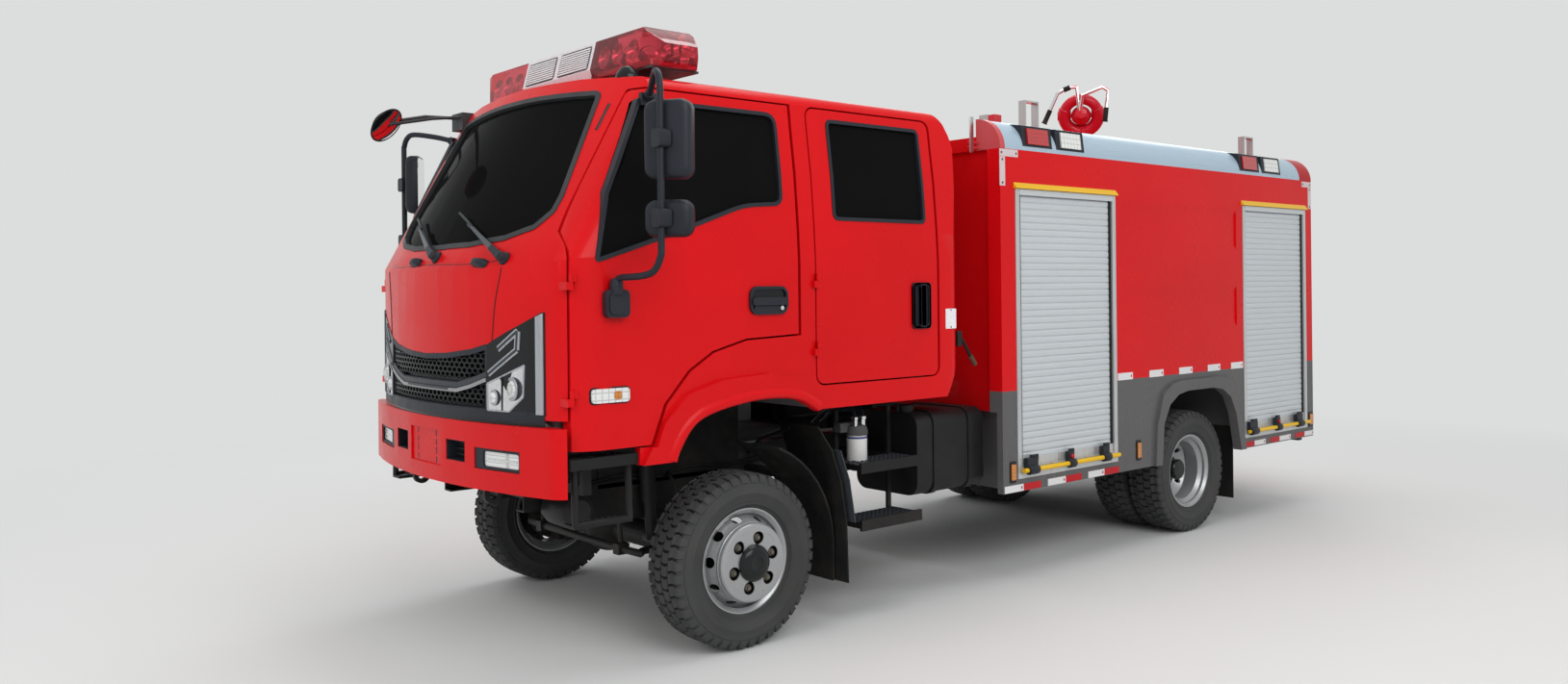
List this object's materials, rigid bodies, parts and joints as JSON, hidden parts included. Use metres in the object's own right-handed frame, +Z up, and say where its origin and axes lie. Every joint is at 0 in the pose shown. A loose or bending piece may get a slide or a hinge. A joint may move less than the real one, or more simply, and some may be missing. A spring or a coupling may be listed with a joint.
{
  "type": "fire truck",
  "caption": "Crew cab fire truck with hinged doors, steered and twin rear wheels, a locker body with roller shutters, a roof light bar and a swivelling water cannon.",
  "frame": {"origin": "middle of the footprint at ground level", "axes": "+X forwards, +Y to the truck's left, +Z up"},
  "size_m": [6.345, 2.754, 3.0513],
  "materials": {
    "paint_red": "gloss enamel",
    "paint_grey": "satin",
    "chassis_black": "satin",
    "casting": "rough",
    "tank_black": "satin",
    "rubber_black": "matt",
    "tyre": "matt",
    "rim_silver": "silver lacquer",
    "plastic_black": "grained",
    "moulding": "satin anodised",
    "shutter_alu": "satin anodised",
    "stainless": "brushed",
    "yellow": "gloss",
    "lens_clear": "clear lens",
    "lens_red": "tinted lens",
    "glass_dark": "tinted",
    "bar_silver": "satin",
    "trim": "woven",
    "cannon_red": "gloss enamel"
  },
  "bodies": {
    "chassis": {"frame_rails": "chassis_black", "front_axle": "chassis_black", "rear_axle": "chassis_black", "leaf_springs": "chassis_black", "powertrain": "casting", "side_boxes": "tank_black", "bumper": "paint_red", "cab_steps": "chassis_black", "mudguards": "rubber_black", "body_floor": "paint_grey", "body_sides": "paint_red", "body_end_walls": "paint_red", "body_roof": "paint_red", "roof_coves": "moulding", "shutters": "shutter_alu", "shutter_frames": "shutter_alu", "yellow_bars": "yellow", "lamp_bezels": "plastic_black", "white_lamps": "lens_clear", "red_lamps": "lens_red", "roof_rails": "stainless", "water_tank": "paint_grey", "cab_floor": "paint_grey", "cab_roof": "paint_red", "cab_sides": "paint_red", "cab_rear_wall": "paint_red", "cab_front": "paint_red", "cab_glass": "glass_dark", "grille": "plastic_black", "headlamps": "lens_clear", "light_bar": "lens_red", "light_bar_middle": "bar_silver", "cab_trim": "plastic_black", "cab_interior": "trim"},
    "steering_wheel": {"steering_wheel": "plastic_black"},
    "door_front_left": {"door_front_left": "paint_red", "glass_front_left": "glass_dark", "mirror_left": "plastic_black"},
    "door_front_right": {"door_front_right": "paint_red", "glass_front_right": "glass_dark", "mirror_right": "plastic_black"},
    "door_rear_left": {"door_rear_left": "paint_red", "glass_rear_left": "glass_dark", "trim_rear_left": "plastic_black"},
    "door_rear_right": {"door_rear_right": "paint_red", "glass_rear_right": "glass_dark", "trim_rear_right": "plastic_black"},
    "knuckle_left": {"knuckle_left": "chassis_black"},
    "wheel_front_left": {"tyre_front_left": "tyre", "rim_front_left": "rim_silver"},
    "wheels_rear_left": {"tyres_rear_left": "tyre", "rims_rear_left": "rim_silver"},
    "knuckle_right": {"knuckle_right": "chassis_black"},
    "wheel_front_right": {"tyre_front_right": "tyre", "rim_front_right": "rim_silver"},
    "wheels_rear_right": {"tyres_rear_right": "tyre", "rims_rear_right": "rim_silver"},
    "tie_rod": {"tie_rod": "chassis_black"},
    "cannon_body": {"cannon_body": "cannon_red"},
    "cannon_barrel": {"cannon_barrel": "cannon_red"}
  },
  "joints": [
    {"name": "door_front_left_hinge", "type": "hinge", "parent": "chassis", "child": "door_front_left", "pos_m": [2.9675, 0.972, 1.7], "axis": [0, 0, -1], "range_deg": [0, 70]},
    {"name": "door_rear_left_hinge", "type": "hinge", "parent": "chassis", "child": "door_rear_left", "pos_m": [1.6945, 1.017, 1.8], "axis": [0, 0, -1], "range_deg": [0, 70]},
    {"name": "door_front_right_hinge", "type": "hinge", "parent": "chassis", "child": "door_front_right", "pos_m": [2.9675, -0.972, 1.7], "axis": [0, 0, 1], "range_deg": [0, 70]},
    {"name": "door_rear_right_hinge", "type": "hinge", "parent": "chassis", "child": "door_rear_right", "pos_m": [1.6945, -1.017, 1.8], "axis": [0, 0, 1], "range_deg": [0, 70]},
    {"name": "steer_left", "type": "hinge", "parent": "chassis", "child": "knuckle_left", "pos_m": [2.1025, 0.7, 0.394], "axis": [0, 0, 1], "range_deg": [-30, 30]},
    {"name": "wheel_front_left_spin", "type": "hinge", "parent": "knuckle_left", "child": "wheel_front_left", "pos_m": [2.1025, 0.876, 0.394], "axis": [0, 1, 0], "continuous": true},
    {"name": "wheels_rear_left_spin", "type": "hinge", "parent": "chassis", "child": "wheels_rear_left", "pos_m": [-1.5475, 0.745, 0.394], "axis": [0, 1, 0], "continuous": true},
    {"name": "steer_right", "type": "hinge", "parent": "chassis", "child": "knuckle_right", "pos_m": [2.1025, -0.7, 0.394], "axis": [0, 0, 1], "range_deg": [-30, 30]},
    {"name": "wheel_front_right_spin", "type": "hinge", "parent": "knuckle_right", "child": "wheel_front_right", "pos_m": [2.1025, -0.876, 0.394], "axis": [0, 1, 0], "continuous": true},
    {"name": "wheels_rear_right_spin", "type": "hinge", "parent": "chassis", "child": "wheels_rear_right", "pos_m": [-1.5475, -0.745, 0.394], "axis": [0, 1, 0], "continuous": true},
    {"name": "tie_rod_pivot", "type": "hinge", "parent": "knuckle_left", "child": "tie_rod", "pos_m": [1.9125, 0.7, 0.275], "axis": [0, 0, 1], "range_deg": [-30, 30]},
    {"name": "steering_wheel_turn", "type": "hinge", "parent": "chassis", "child": "steering_wheel", "pos_m": [2.5025, 0.48, 1.74], "axis": [-0.6428, 0, 0.766], "range_deg": [-480, 480]},
    {"name": "cannon_swivel", "type": "hinge", "parent": "chassis", "child": "cannon_body", "pos_m": [-1.7475, 0, 2.6], "axis": [0, 0, 1], "continuous": true},
    {"name": "cannon_elevation", "type": "hinge", "parent": "cannon_body", "child": "cannon_barrel", "pos_m": [-1.7475, 0, 2.855], "axis": [-0.5878, 0.809, 0], "range_deg": [-10, 60]}
  ],
  "couplings": [
    {"joint": "steer_right", "follows": "steer_left", "ratio": 1},
    {"joint": "tie_rod_pivot", "follows": "steer_left", "ratio": -1},
    {"joint": "steering_wheel_turn", "follows": "steer_left", "ratio": 16}
  ]
}
